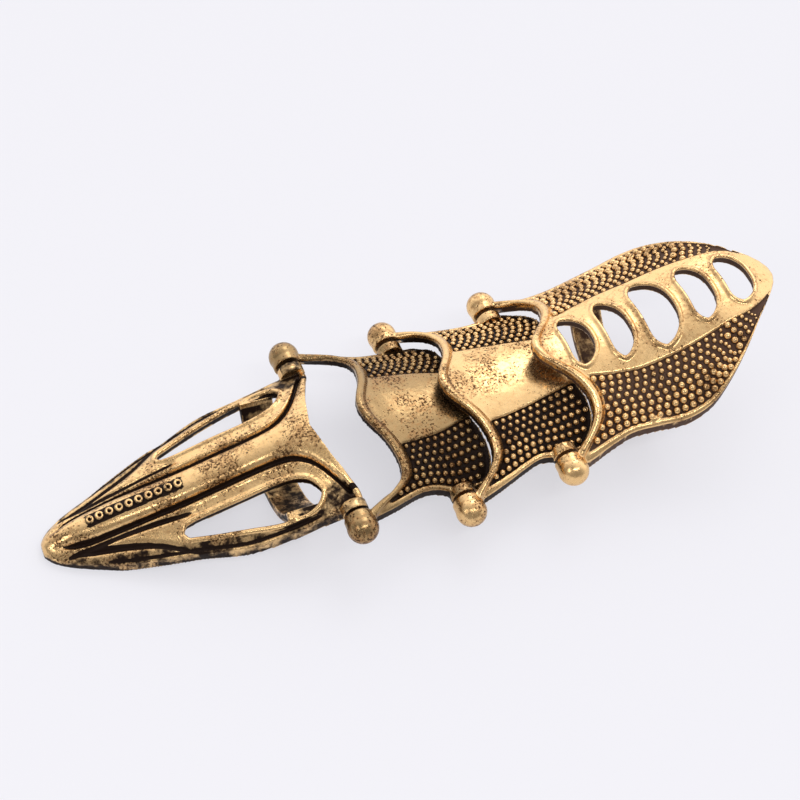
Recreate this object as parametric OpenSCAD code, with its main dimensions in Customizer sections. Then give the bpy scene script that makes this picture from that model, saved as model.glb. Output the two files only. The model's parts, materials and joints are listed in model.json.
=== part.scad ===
// Knuckle armor ring: a fingertip claw, two knuckle plates and a hand plate on three cross hinges.
// Lengths are millimetres. X runs from the claw's tip to the hand, Y across the finger, Z up.

/* [Lengths] */
// Claw, from its hinge to its tip
claw_l = 30; // [26:0.5:36]
// From the claw hinge to the middle hinge
pitch_1 = 11.9; // [11:0.1:13.5]
// From the middle hinge to the hand hinge
pitch_2 = 11.8; // [11:0.1:13.5]
// Hand plate, from its hinge to its round end
hand_l = 28.4; // [26:0.2:33]

/* [Hinges] */
// Height of the claw hinge over the table
claw_hinge_z = 6.3; // [5.8:0.1:7]
// Height of the middle hinge
middle_hinge_z = 4.4; // [4.2:0.1:5]
// Height of the hand hinge
hand_hinge_z = 5.7; // [5.4:0.1:6.4]
// Half spread of the claw hinge's balls
claw_hinge_y = 11.6; // [11.4:0.1:12]
// Half spread of the middle hinge's balls
middle_hinge_y = 12.3; // [12.1:0.1:12.8]
// Half spread of the hand hinge's balls
hand_hinge_y = 11.9; // [11.7:0.1:12.4]
// Diameter of a ball
ball_d = 3.3; // [3:0.1:3.8]
// Thickness of an outer ear, from its inner face to the middle of its ball
ear_t = 1.4; // [1.2:0.1:1.6]
// Thickness of an inner lug
lug_t = 1.1; // [0.9:0.1:1.3]
// Diameter of an inner lug
lug_d = 2.8; // [2.6:0.1:3]
// Diameter of a hinge pin
pin_d = 1.3; // [1.1:0.1:1.4]
// How far a pin runs into its ball past the ear
pin_into_ball = 0.3; // [0.2:0.05:0.6]
// Radial clearance of a pin in its lug
pin_gap = 0.05; // [0.03:0.01:0.09]
// Gap between a lug and the parts round it
side_gap = 0.4; // [0.35:0.05:0.5]
// Gap that a plate's rear edge keeps to the next rim as it swings
swing_gap = 0.3; // [0.2:0.05:0.4]

/* [Plates] */
// Wall of the four castings
wall_t = 1.1; // [0.9:0.05:1.2]
// Height of the front plate's crest at its hinge
front_h = 10.2; // [9.8:0.1:10.6]
// Height of the rear plate's crest at its hinge
rear_h = 10.1; // [9.8:0.1:10.6]
// Height of the hand plate's crest at its far end
hand_h = 15.3; // [14.6:0.1:16]
// Widest half width of the hand plate's leaf
leaf_hw = 11.3; // [10.6:0.1:12]
// Length of a knuckle plate's tail past the next hinge
tail_l = 3.2; // [2.8:0.1:3.6]
// How far the arms' outer edges lie inside the middles of the balls
arm_inset = 0.4; // [0.3:0.05:0.6]
// How far the rims stand proud
lip_h = 0.5; // [0.3:0.05:0.7]
// Width of the rims along the finger
lip_w = 1.2; // [0.9:0.1:1.5]

/* [Claw] */
// Half width of the claw at its band
claw_hw = 9.2; // [8.6:0.1:9.6]
// Height of the claw's crest at its hinge
claw_h = 9.3; // [8.9:0.1:9.8]
// Half width of the spine
spine_hw = 1.7; // [1.4:0.1:2]
// How far the spine stands proud
spine_h = 0.45; // [0.3:0.05:0.6]
// Depth of the grooves beside the spine
groove_d = 0.4; // [0.2:0.05:0.5]
// Half width of the grooves
groove_hw = 0.32; // [0.24:0.02:0.4]
// Distance from the hinge to the windows' round ends
window_back = 2.2; // [2:0.1:2.6]
// Length of a window
window_l = 14.6; // [12:0.2:16]
// Number of ringlets on the spine
ringlet_count = 10; // [6:1:12]
// Diameter of a ringlet
ringlet_d = 0.9; // [0.7:0.05:1.1]
// How far a ringlet stands proud of the spine
ringlet_rise = 0.2; // [0.15:0.05:0.3]

/* [Beads] */
// How deep the beaded ground lies below the smooth metal
ground_d = 0.35; // [0.2:0.05:0.45]
// Height of a bead over its ground
bead_h = 0.45; // [0.3:0.05:0.6]
// Rows of beads on each side
bead_rows = 6; // [4:1:7]

/* [Finger bands] */
// Inner diameter of the base band
base_band_d = 19.2; // [18.6:0.1:20]
// Width of the base band along the finger
base_band_w = 3.8; // [3:0.1:4.4]
// Distance from the hand hinge to the front of the base band
base_band_x = 9.6; // [9:0.1:10.4]
// Width of the fingertip band
tip_band_w = 3.6; // [3:0.1:4.4]
// Distance from the claw hinge to the rear of the fingertip band
tip_band_x = 2.9; // [2.6:0.1:3.4]
// Gap from the fingertip band to the table
tip_band_lift = 0.4; // [0.2:0.1:0.6]
// Thickness of both bands
band_t = 0.9; // [0.7:0.05:1]

/* [Hidden] */

$fn = 32;
gold = [0.78, 0.6, 0.3];
pin_gold = [0.6, 0.45, 0.22];

// The box of the whole ring is centred on X, so the claw hinge lies here
total_l = claw_l + pitch_1 + pitch_2 + hand_l;
hinge_x = [claw_l - total_l / 2, claw_l + pitch_1 - total_l / 2, total_l / 2 - hand_l];
hinge_y = [claw_hinge_y, middle_hinge_y, hand_hinge_y];
hinge_z = [claw_hinge_z, middle_hinge_z, hand_hinge_z];
pitch = [pitch_1, pitch_2];
plate_h = [front_h, rear_h, hand_h];
arm_hw = [for (y = hinge_y) y - arm_inset];
lug_out = [for (y = hinge_y) y - ear_t - side_gap];
ear_d = 0.94 * ball_d;

// A smooth curve through the rows of a table, from one column of it
function row_slope(t, c, i) =
    let (a = max(i - 1, 0), b = min(i + 1, len(t) - 1))
    (t[b][c] - t[a][c]) / (t[b][0] - t[a][0]);
function row_at(t, x, i = 0) = i >= len(t) - 2 || x <= t[i + 1][0] ? i : row_at(t, x, i + 1);
function curve(t, c, x_any) =
    let (
        x = min(max(x_any, t[0][0]), t[len(t) - 1][0]),
        i = row_at(t, x),
        w = t[i + 1][0] - t[i][0],
        u = (x - t[i][0]) / w,
        m0 = row_slope(t, c, i) * w,
        m1 = row_slope(t, c, i + 1) * w
    )
    t[i][c] * (2 * u ^ 3 - 3 * u ^ 2 + 1) + m0 * (u ^ 3 - 2 * u ^ 2 + u)
        + t[i + 1][c] * (3 * u ^ 2 - 2 * u ^ 3) + m1 * (u ^ 3 - u ^ 2);

// Sections of the three plates. Columns: distance from the plate's hinge as a share of its length,
// crest height as a share of the plate's height, half width as a share of the arms' or the leaf's
// half width, edge height as a share of the plate's height, and the smooth panel's share of the width
front_sections = [
    [0.00, 1.000, 1.000, 0.640, 0.42],
    [0.26, 0.968, 0.930, 0.632, 0.44],
    [0.48, 0.897, 0.842, 0.597, 0.47],
    [0.61, 0.871, 0.835, 0.557, 0.46],
    [0.80, 0.838, 0.885, 0.440, 0.39],
    [1.00, 0.805, 0.885, 0.410, 0.30],
];
rear_sections = [
    [0.00, 1.000, 1.000, 0.450, 0.40],
    [0.17, 0.980, 0.955, 0.505, 0.42],
    [0.33, 0.936, 0.895, 0.528, 0.45],
    [0.50, 0.916, 0.832, 0.576, 0.46],
    [0.61, 0.911, 0.806, 0.604, 0.45],
    [0.80, 0.916, 0.840, 0.575, 0.38],
    [1.00, 0.920, 0.840, 0.570, 0.32],
];
hand_sections = [
    [0.00, 0.780, 1.035, 0.375, 0.32],
    [0.08, 0.762, 1.015, 0.388, 0.33],
    [0.17, 0.762, 0.960, 0.430, 0.39],
    [0.26, 0.775, 0.930, 0.486, 0.46],
    [0.36, 0.802, 0.958, 0.515, 0.49],
    [0.48, 0.852, 1.000, 0.545, 0.47],
    [0.58, 0.905, 0.982, 0.640, 0.47],
    [0.66, 0.945, 0.880, 0.765, 0.50],
    [0.75, 0.980, 0.706, 0.885, 0.58],
    [0.85, 0.998, 0.470, 0.965, 0.78],
    [0.93, 0.985, 0.285, 0.970, 0.90],
    [0.98, 0.965, 0.150, 0.958, 0.92],
    [1.00, 0.950, 0.060, 0.948, 0.92],
];
sections = [front_sections, rear_sections, hand_sections];
reach = [pitch_1 + tail_l, pitch_2 + tail_l, hand_l];
section_hw = [arm_hw[0], arm_hw[1], leaf_hw];
function crest(k, x) = plate_h[k] * curve(sections[k], 1, x / reach[k]);
function half_w(k, x) = section_hw[k] * curve(sections[k], 2, x / reach[k]);
function edge_z(k, x) = plate_h[k] * curve(sections[k], 3, x / reach[k]);
function panel(k, x) = curve(sections[k], 4, x / reach[k]);
function sag(k, x) = (crest(k, x) - edge_z(k, x)) / half_w(k, x) ^ 2;
function plate_z(k, x, y) = crest(k, x) - sag(k, x) * y ^ 2;

// The wavy front rim of a plate, with its middle peak and its two shoulders at shares of the plate's
// length from the hinge. Columns: share of the arms' half width, how much of the middle peak and how
// much of the run out to the balls is felt there
rim_rows = [
    [0.00, 1.00, 0.00],
    [0.10, 0.92, 0.00],
    [0.20, 0.68, 0.00],
    [0.32, 0.34, 0.00],
    [0.45, 0.10, 0.00],
    [0.58, 0.00, 0.00],
    [0.70, 0.00, 0.06],
    [0.80, 0.00, 0.30],
    [0.88, 0.00, 0.60],
    [0.94, 0.00, 0.82],
    [1.00, 0.00, 1.00],
];
shoulder_share = [0.391, 0.273, 0.137];
peak_share = [0.252, 0.08, -0.0035];
function rim_x(k, y) =
    let (s = abs(y) / arm_hw[k], shoulder = shoulder_share[k], peak = peak_share[k])
    reach[k] * (shoulder - (shoulder - peak) * curve(rim_rows, 1, s) - shoulder * curve(rim_rows, 2, s));

// A plate's rear edge swings inside the circle that the next rim's lower corner leaves round the
// hinge, with a gap that widens to twice its size at the corners
corner_power = 6;
function steep(k, x, y) = sqrt(1 + (2 * sag(k, x) * y) ^ 2);
function under_z(k, x, y, rise) = plate_z(k, x, y) + lip_h * rise - wall_t * steep(k, x, y);
function swing_r(k, y) =
    let (x = rim_x(k, y), far = 2 * lip_w)
    min(concat(
        [for (i = [0 : rim_end]) norm([x + lip_w * rim_shares[i],
            under_z(k, x + lip_w * rim_shares[i], y, rim_rise[i]) - hinge_z[k]])],
        [norm([x + far, under_z(k, x + far, y, 0) - hinge_z[k]])]))
        - swing_gap * (1 + abs(y / lug_out[k]) ^ corner_power);
function rear_x(k, y) =
    k == 2 ? hand_l
    : let (r = swing_r(k + 1, y), dz = plate_z(k, pitch[k] + rim_x(k + 1, y), y) - hinge_z[k + 1])
    pitch[k] + sqrt(max(r ^ 2 - dz ^ 2, 0));

// Lines across a plate, as [kind, place]: kind 0 is the smooth panel, kind 1 the beaded side
panel_steps = 3;
side_in = 0.05;
side_out = 0.9;
side_edge = 0.93;
side_lines = concat(
    [for (r = [0 : bead_rows]) [1, side_in + (side_out - side_in) * r / bead_rows]],
    [[1, side_edge], [1, 1]]);
half_lines = concat([for (p = [0 : panel_steps]) [0, p / panel_steps]], side_lines);
half_count = len(half_lines) - 1;
lines = concat(
    [for (j = [half_count : -1 : 1]) [half_lines[j][0], half_lines[j][1], -1]],
    [for (j = [0 : half_count]) [half_lines[j][0], half_lines[j][1], 1]]);
function beaded_line(l) = l[0] == 1 && l[1] <= side_out;

// Columns along a plate: across the rim, over the beads two to a bead, then to the rear edge
rim_shares = [0, 0.25, 0.75, 1];
rim_rise = [0.6, 1, 0.85, 0];
bead_count = [9, 9, 19];
bead_end = [0.96, 0.96, 0.84];
tail_shares = [[1], [1], [0.9, 0.95, 0.985, 1]];
rim_end = len(rim_shares) - 1;
function bead_last(k) = rim_end + 2 * bead_count[k];
function column_count(k) = bead_last(k) + len(tail_shares[k]) + 1;
function column_x(k, i, a, b) =
    i <= rim_end ? a + lip_w * rim_shares[i]
    : let (
        u = i <= bead_last(k) ? bead_end[k] * (i - rim_end) / (2 * bead_count[k])
            : tail_shares[k][i - bead_last(k) - 1]
    )
    a + lip_w + (b - a - lip_w) * u;
function line_y(k, x, l) =
    let (p = panel(k, x))
    l[2] * half_w(k, x) * (l[0] == 0 ? p * l[1] : p + (1 - p) * l[1]);
// A line bends with the plate, so its x in a column is closed in on in a few rounds
function line_x(k, i, l, rounds = 6, x = 0) =
    rounds == 0 ? x
    : let (y = line_y(k, x, l), next = column_x(k, i, rim_x(k, y), rear_x(k, y)))
    line_x(k, i, l, rounds - 1, next);
function relief(k, i, l) =
    (i <= rim_end ? lip_h * rim_rise[i] : 0) - (i >= rim_end && beaded_line(l) && l[1] > 0 ? ground_d : 0);
function slope_at(k, x, y) = 2 * sag(k, x) * y;
function out_of(k, x, y) =
    let (s = slope_at(k, x, y), n = sqrt(1 + s ^ 2))
    [0, s / n, 1 / n];
function outer_point(k, i, l) =
    let (x = line_x(k, i, l), y = line_y(k, x, l))
    [x, y, plate_z(k, x, y)] + out_of(k, x, y) * relief(k, i, l);
function inner_point(k, i, l) =
    let (x = line_x(k, i, l), y = line_y(k, x, l))
    [x, y, under_z(k, x, y, i <= rim_end ? rim_rise[i] : 0)];

// Faces of a wall between an outer and a coarser inner net of points. The outer net has n columns,
// and the inner one has the same columns on the lines named in kept
function quad(a, b, c, d) = [[a, b, c], [a, c, d]];
function flat_faces(list) = [for (part = list) each part];
function under_faces(kept, base, n) = flat_faces([
    for (g = [0 : len(kept) - 2], i = [0 : n - 2])
    let (a = base + g * n + i, b = a + n)
    quad(a, a + 1, b + 1, b)
]);
function end_faces(kept, base, n, i, turn) = flat_faces([
    for (g = [0 : len(kept) - 2])
    let (
        a = base + g * n + i,
        fan = concat(
            [for (j = [kept[g] : kept[g + 1] - 1]) [(j + 1) * n + i, j * n + i, a]],
            [[kept[g + 1] * n + i, a, a + n]])
    )
    [for (f = fan) turn ? [f[0], f[2], f[1]] : f]
]);
function side_faces(line, base, n, turn) = flat_faces([
    for (i = [0 : n - 2])
    let (a = line * n + i, b = base + i)
    turn ? quad(a + 1, a, b, b + 1) : quad(a, a + 1, b + 1, b)
]);
function wall_faces(kept, line_total, base, n) = concat(
    under_faces(kept, base, n),
    end_faces(kept, base, n, 0, false),
    end_faces(kept, base, n, n - 1, true),
    side_faces(0, base, n, false),
    side_faces(line_total - 1, base + (len(kept) - 1) * n, n, true));
function every(step, count) = concat([for (j = [0 : step : count - 2]) j], [count - 1]);

// A bead: a ring of six points on the six corners of its cell, and a top
bead_fill = 0.42;
bead_shoulder = 0.55;
function bead_cells(k) = [
    for (j = [0 : len(lines) - 2])
    if (beaded_line(lines[j]) && beaded_line(lines[j + 1]))
    for (i = [rim_end + j % 2 : 2 : bead_last(k) - 2])
    [j, i]
];
function bead_corners(j, i, n) = [
    j * n + i, (j + 1) * n + i, (j + 1) * n + i + 1, (j + 1) * n + i + 2, j * n + i + 2, j * n + i + 1
];
function mean(points) = points * [for (p = points) 1 / len(points)];
function middle(points) = [for (c = [0 : 2]) mean([for (p = points) p[c]])];
function bead_points(k, cell, points, n) =
    let (
        ring = [for (c = bead_corners(cell[0], cell[1], n)) points[c]],
        m = middle(ring),
        r = bead_fill * min(norm(ring[2] - ring[5]), norm(ring[3] - ring[1])),
        up = out_of(k, m[0], m[1])
    )
    concat(
        [for (p = ring) m + (p - m) * r / norm(p - m) + up * bead_h * bead_shoulder],
        [m + up * bead_h]);
function bead_faces(cell, first, n) =
    let (c = bead_corners(cell[0], cell[1], n))
    flat_faces([
        for (q = [0 : 5])
        let (r = (q + 1) % 6)
        [[c[q], c[r], first + r], [c[q], first + r, first + q], [first + q, first + r, first + 6]]
    ]);
function in_bead(k, j, i) =
    beaded_line(lines[j]) && beaded_line(lines[j + 1])
    && i >= rim_end + j % 2 && i < rim_end + j % 2 + 2 * floor((bead_last(k) - rim_end - j % 2) / 2);

module plate_shell(k) {
    n = column_count(k);
    kept = every(2, len(lines));
    outer = [for (l = lines, i = [0 : n - 1]) outer_point(k, i, l)];
    inner = [for (g = kept, i = [0 : n - 1]) inner_point(k, i, lines[g])];
    cells = bead_cells(k);
    beads = [for (c = cells) each bead_points(k, c, outer, n)];
    base = len(outer);
    first_bead = base + len(inner);
    plain = flat_faces([
        for (j = [0 : len(lines) - 2], i = [0 : n - 2])
        if (!in_bead(k, j, i))
        quad(j * n + i, (j + 1) * n + i, (j + 1) * n + i + 1, j * n + i + 1)
    ]);
    polyhedron(
        concat(outer, inner, beads),
        concat(
            plain,
            wall_faces(kept, len(lines), base, n),
            [for (c = [0 : len(cells) - 1]) each bead_faces(cells[c], first_bead + 7 * c, n)]),
        convexity = 8);
}

// A round bar along Y on both sides, from one distance to another
module on_both_sides(from_y, to_y, d) {
    for (s = [-1, 1])
        translate([0, s * (from_y + to_y) / 2, 0])
            rotate([90, 0, 0])
                cylinder(d = d, h = to_y - from_y, center = true);
}

module at_hinge(k) {
    translate([hinge_x[k], 0, hinge_z[k]])
        children();
}

module plate_in_place(k) {
    translate([hinge_x[k], 0, 0])
        children();
}

// The two balls at a plate's front, with the flat ears under them
module balls(k) {
    on_both_sides(hinge_y[k] - ear_t, hinge_y[k], ear_d);
    for (s = [-1, 1])
        translate([0, s * hinge_y[k], 0])
            sphere(d = ball_d);
}

module ball_cuts(k) {
    on_both_sides(0, hinge_y[k] - ear_t, lug_d + 2 * side_gap);
    on_both_sides(hinge_y[k] - ear_t - side_gap, hinge_y[k] + pin_into_ball, pin_d);
}

module lugs(k) {
    on_both_sides(lug_out[k] - lug_t, lug_out[k], lug_d);
}

module lug_holes(k) {
    on_both_sides(lug_out[k] - 2 * lug_t, lug_out[k] + lug_t, pin_d + 2 * pin_gap);
}

module knuckle_plate(k) {
    color(gold)
    difference() {
        union() {
            difference() {
                union() {
                    plate_in_place(k) plate_shell(k);
                    at_hinge(k) balls(k);
                }
                at_hinge(k) ball_cuts(k);
            }
            at_hinge(k + 1) lugs(k + 1);
        }
        at_hinge(k + 1) lug_holes(k + 1);
    }
}

module front_knuckle_plate() {
    knuckle_plate(0);
}

module rear_knuckle_plate() {
    knuckle_plate(1);
}

// A strip of a ring round the finger, open at the top by the angle that is left
module band(inner_d, width, half_angle) {
    rotate([0, 90, 0])
        rotate([0, 0, -half_angle])
            rotate_extrude(angle = 2 * half_angle, $fn = 96)
                translate([inner_d / 2, 0])
                    square([band_t, width]);
}

// The five holes of the hand plate. Columns: distance from the hinge to the flat side and length as
// shares of the plate's length, half width as a share of the leaf's
hand_holes = [
    [0.116, 0.130, 0.295],
    [0.278, 0.120, 0.345],
    [0.426, 0.155, 0.395],
    [0.613, 0.123, 0.335],
    [0.764, 0.137, 0.300],
];
hole_corner = 0.35;
hole_hollow = 0.1;
function hole_front(p) = hole_hollow * (1 - p ^ 2) + hole_corner * abs(p) ^ 5;
function hole_back(p) = hole_corner + (1 - hole_corner) * (1 - abs(p) ^ 2.4) ^ 0.55;
hole_turn = 15;

module hand_hole(h) {
    start = h[0] * hand_l;
    length = h[1] * hand_l;
    half = h[2] * leaf_hw;
    front = [
        for (a = [-90 : hole_turn : 90])
        [start + length * hole_front(sin(a)), half * sin(a)]
    ];
    back = [
        for (a = [90 - hole_turn : -hole_turn : hole_turn - 90])
        [start + length * hole_back(sin(a)), half * sin(a)]
    ];
    linear_extrude(2 * hand_h)
        polygon(concat(front, back));
}

// The base band ends in the wall of the plate, at the first whole degree that reaches its middle
base_band_r = (base_band_d + band_t) / 2;
base_band_z = base_band_d / 2 + band_t;
function wall_z(k, x, y) = plate_z(k, x, y) - wall_t * steep(k, x, y) / 2;
function reached(a) =
    base_band_z - base_band_r * cos(a)
    >= wall_z(2, base_band_x + base_band_w / 2, base_band_r * sin(a));
function first_reached(a) = a >= 90 || reached(a) ? a : first_reached(a + 1);
base_band_angle = first_reached(60);

module hand_plate() {
    color(gold)
    difference() {
        union() {
            difference() {
                plate_in_place(2) plate_shell(2);
                plate_in_place(2)
                    for (h = hand_holes)
                        hand_hole(h);
            }
            at_hinge(2) balls(2);
            translate([hinge_x[2] + base_band_x, 0, base_band_z])
                band(base_band_d, base_band_w, base_band_angle);
        }
        at_hinge(2) ball_cuts(2);
    }
}

// Sections of the claw. Columns: distance from the tip as a share of the claw's length, crest height
// as a share of its height, half width and edge height as shares of its half width and height, and
// the spine's share of its own width
claw_sections = [
    [0.000, 0.115, 0.070, 0.080, 0.12],
    [0.012, 0.165, 0.130, 0.085, 0.24],
    [0.035, 0.205, 0.205, 0.090, 0.40],
    [0.070, 0.235, 0.280, 0.095, 0.60],
    [0.120, 0.270, 0.360, 0.098, 0.80],
    [0.170, 0.310, 0.430, 0.110, 0.92],
    [0.270, 0.390, 0.560, 0.172, 1.00],
    [0.400, 0.475, 0.700, 0.265, 1.00],
    [0.490, 0.540, 0.780, 0.320, 1.00],
    [0.640, 0.680, 0.930, 0.390, 1.00],
    [0.780, 0.810, 0.965, 0.480, 1.03],
    [0.850, 0.880, 0.970, 0.540, 1.20],
    [0.900, 0.925, 0.975, 0.590, 1.70],
    [0.940, 0.955, 0.980, 0.620, 2.50],
    [1.000, 1.000, 0.985, 0.655, 4.20],
];
// Rear edge of the claw. Columns: share of its half width, distance behind the hinge as a share of
// its length
claw_rear_rows = [[0, -0.05], [0.4, -0.02], [0.7, 0.017], [0.85, 0.037], [1, 0.04]];
// The front of the claw is thicker over this share of its length, by this many walls at the tip
nose_share = 0.133;
// Behind this share of its length the claw narrows to its arms
arm_from = 0.78;
nose_walls = 4;
// The relief fades out over this share of the length, and a groove narrows with the tip to this
// share of its half width
relief_share = 0.05;
groove_share = 0.07;
function claw_share(x) = 1 + x / claw_l;
function claw_crest(x) = claw_h * curve(claw_sections, 1, claw_share(x));
claw_arm_hw = lug_out[0] - lug_t / 2;
function arm_part(s) = min(max((s - arm_from) / (1 - arm_from), 0), 1);
function claw_half(x) =
    let (s = claw_share(x), a = arm_part(s))
    (claw_hw * (1 - a) + claw_arm_hw * a) * curve(claw_sections, 2, s);
function claw_edge(x) = claw_h * curve(claw_sections, 3, claw_share(x));
function spine_half(x) = spine_hw * curve(claw_sections, 4, claw_share(x));
function claw_sag(x) = (claw_crest(x) - claw_edge(x)) / claw_half(x) ^ 2;
function claw_z(x, y) = claw_crest(x) - claw_sag(x) * y ^ 2;

// Lines across half a claw. Columns: share of the spine, share of the groove, share of the rest,
// then the relief there: of the spine, the main groove, the front groove and the side groove
claw_half_lines = [
    [0.00, 0, 0.00, 1.00, 0, 0, 0],
    [0.45, 0, 0.00, 0.90, 0, 0, 0],
    [0.80, 0, 0.00, 0.55, 0, 0, 0],
    [1.00, 0, 0.00, 0.00, 0, 0, 0],
    [1.00, 1, 0.00, 0.00, 1, 0, 0],
    [1.00, 2, 0.00, 0.10, 0, 0, 0],
    [1.00, 2, 0.15, 0.20, 0, 0, 0],
    [1.00, 2, 0.27, 0.00, 0, 1, 0],
    [1.00, 2, 0.38, 0.20, 0, 0, 0],
    [1.00, 2, 0.58, 0.00, 0, 0, 0],
    [1.00, 2, 0.70, 0.00, 0, 0, 1],
    [1.00, 2, 0.84, 0.30, 0, 0, 0],
    [1.00, 2, 1.00, 0.10, 0, 0, 0],
];
claw_half_count = len(claw_half_lines) - 1;
claw_lines = concat(
    [for (j = [claw_half_count : -1 : 1]) [claw_half_lines[j], -1]],
    [for (j = [0 : claw_half_count]) [claw_half_lines[j], 1]]);
claw_columns = [0, 0.012, 0.035, 0.07, 0.12, 0.17, 0.23, 0.29, 0.35, 0.41, 0.47, 0.53, 0.59, 0.65, 0.71,
    0.77, 0.82, 0.86, 0.9, 0.94, 0.97, 1];
front_groove_rows = [[0, 0], [0.04, 0], [0.1, 1], [0.42, 1], [0.52, 0], [1, 0]];
side_groove_rows = [[0, 0], [0.08, 0], [0.16, 1], [0.6, 1], [0.75, 0.4], [1, 0]];
function claw_line_y(x, l) =
    let (
        half = claw_half(x),
        g = min(groove_hw, groove_share * half),
        spine = min(spine_half(x), half - 4 * g),
        c = l[0],
        start = spine * c[0] + g * c[1]
    )
    l[1] * (start + (half - start) * c[2]);
function claw_line_x(i, l, rounds = 6, x = 0) =
    rounds == 0 ? x
    : let (
        y = claw_line_y(x, l),
        rear = claw_l * curve(claw_rear_rows, 1, abs(y) / claw_hw),
        next = -claw_l + (claw_l + rear) * claw_columns[i]
    )
    claw_line_x(i, l, rounds - 1, next);
function claw_relief(x, l) =
    let (c = l[0], s = claw_share(x), tip = min(1, s / relief_share))
    tip * (spine_h * c[3] - groove_d * c[4]
        - groove_d * c[5] * curve(front_groove_rows, 1, s)
        - groove_d * c[6] * curve(side_groove_rows, 1, s));
function claw_outer_point(i, l) =
    let (x = claw_line_x(i, l), y = claw_line_y(x, l))
    [x, y, claw_z(x, y) + claw_relief(x, l)];
function claw_inner_point(i, l) =
    let (
        x = claw_line_x(i, l),
        y = claw_line_y(x, l),
        more = nose_walls * max(0, 1 - claw_share(x) / nose_share),
        down = wall_t * sqrt(1 + (2 * claw_sag(x) * y) ^ 2) * (1 + more)
    )
    [x, y, max(0, claw_z(x, y) - down)];

module claw_shell() {
    n = len(claw_columns);
    count = len(claw_lines);
    kept = every(2, count);
    outer = [for (l = claw_lines, i = [0 : n - 1]) claw_outer_point(i, l)];
    inner = [for (g = kept, i = [0 : n - 1]) claw_inner_point(i, claw_lines[g])];
    polyhedron(
        concat(outer, inner),
        concat(
            flat_faces([
                for (j = [0 : count - 2], i = [0 : n - 2])
                quad(j * n + i, (j + 1) * n + i, (j + 1) * n + i + 1, j * n + i + 1)
            ]),
            wall_faces(kept, count, len(outer), n)),
        convexity = 8);
}

// Outline of a window. Columns: share of its length from the round rear end, inner and outer side as
// shares of the claw's half width
window_rows = [
    [0.00, 0.710, 0.710],
    [0.03, 0.620, 0.795],
    [0.08, 0.530, 0.850],
    [0.18, 0.460, 0.875],
    [0.35, 0.430, 0.860],
    [0.55, 0.430, 0.790],
    [0.75, 0.435, 0.695],
    [0.90, 0.450, 0.600],
    [0.97, 0.470, 0.550],
    [1.00, 0.505, 0.505],
];
window_shares = [0, 0.01, 0.03, 0.05, 0.08, 0.12, 0.18, 0.28, 0.4, 0.55, 0.7, 0.85, 0.94, 0.985, 1];

module window(side) {
    last = len(window_shares) - 1;
    inner = [
        for (t = window_shares)
        [-window_back - window_l * t, side * claw_hw * curve(window_rows, 1, t)]
    ];
    outer = [
        for (i = [last - 1 : -1 : 1])
        let (t = window_shares[i])
        [-window_back - window_l * t, side * claw_hw * curve(window_rows, 2, t)]
    ];
    linear_extrude(2 * claw_h)
        polygon(concat(inner, outer));
}

// Small rings in a row on the front half of the spine
ringlet_from = 0.17;
ringlet_to = 0.48;
ringlet_root = 0.32 * (spine_h + wall_t);

module ringlets() {
    for (i = [0 : ringlet_count - 1]) {
        x = -claw_l + claw_l * (ringlet_from + (ringlet_to - ringlet_from) * i / (ringlet_count - 1));
        translate([x, 0, claw_crest(x) + spine_h - ringlet_root])
            difference() {
                cylinder(d = ringlet_d, h = ringlet_root + ringlet_rise, $fn = 16);
                translate([0, 0, ringlet_root])
                    cylinder(d = ringlet_d / 2, h = ringlet_root, $fn = 16);
            }
    }
}

// The fingertip band is an arc from the middles of the side walls, past the windows, down to its
// gap over the table
band_side = 0.825;
tip_band_mid = -tip_band_x - tip_band_w / 2;
tip_band_y = band_side * claw_hw;
tip_band_drop = claw_z(tip_band_mid, tip_band_y) - tip_band_lift - band_t / 2;
tip_band_r = (tip_band_y ^ 2 + tip_band_drop ^ 2) / (2 * tip_band_drop);
tip_band_angle = atan2(tip_band_y, tip_band_r - tip_band_drop);

module fingertip_claw() {
    color(gold)
    difference() {
        union() {
            plate_in_place(0)
                difference() {
                    union() {
                        claw_shell();
                        ringlets();
                    }
                    for (s = [-1, 1])
                        window(s);
                }
            at_hinge(0) lugs(0);
            translate([hinge_x[0] - tip_band_x - tip_band_w, 0, tip_band_lift + band_t / 2 + tip_band_r])
                band(2 * tip_band_r - band_t, tip_band_w, tip_band_angle);
        }
        at_hinge(0) lug_holes(0);
    }
}

// A pin runs from its lug's inner face into the ball
module hinge_pin(k, side) {
    color(pin_gold)
        translate([hinge_x[k], side * (lug_out[k] - lug_t), hinge_z[k]])
            rotate([-90 * side, 0, 0])
                cylinder(d = pin_d, h = lug_t + side_gap + ear_t + pin_into_ball);
}

module claw_pin_left() {
    hinge_pin(0, -1);
}

module claw_pin_right() {
    hinge_pin(0, 1);
}

module middle_pin_left() {
    hinge_pin(1, -1);
}

module middle_pin_right() {
    hinge_pin(1, 1);
}

module hand_pin_left() {
    hinge_pin(2, -1);
}

module hand_pin_right() {
    hinge_pin(2, 1);
}

fingertip_claw();
front_knuckle_plate();
rear_knuckle_plate();
hand_plate();
claw_pin_left();
claw_pin_right();
middle_pin_left();
middle_pin_right();
hand_pin_left();
hand_pin_right();
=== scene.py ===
import json
import math

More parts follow.
